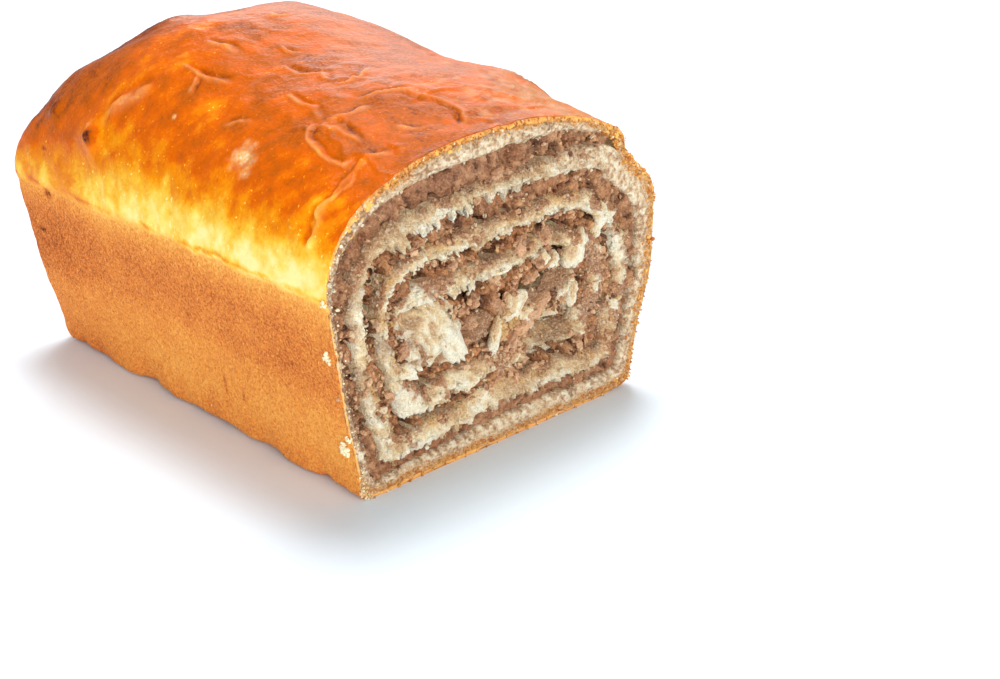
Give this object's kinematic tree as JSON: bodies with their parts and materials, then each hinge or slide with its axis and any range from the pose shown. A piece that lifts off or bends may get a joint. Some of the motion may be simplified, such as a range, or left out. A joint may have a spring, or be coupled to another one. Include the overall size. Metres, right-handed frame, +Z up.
{
  "type": "walnut roll",
  "caption": "Cut loaf of walnut roll: glossy golden dough baked in a tin and domed over its rim, with a spiral of ground walnut filling showing at the cut end.",
  "frame": {"origin": "centre of the loaf's box at its flat bottom, on the surface it stands on", "axes": "+Z up; +Y along the roll, from the cut face to the closed back end; +X to the right as the cut face is looked at"},
  "size_m": [0.1004, 0.134, 0.0879],
  "materials": {
    "baked_dough": "satin",
    "walnut_filling": "matte"
  },
  "bodies": {
    "root": {"dough": "baked_dough", "walnut_filling": "walnut_filling"}
  },
  "joints": []
}
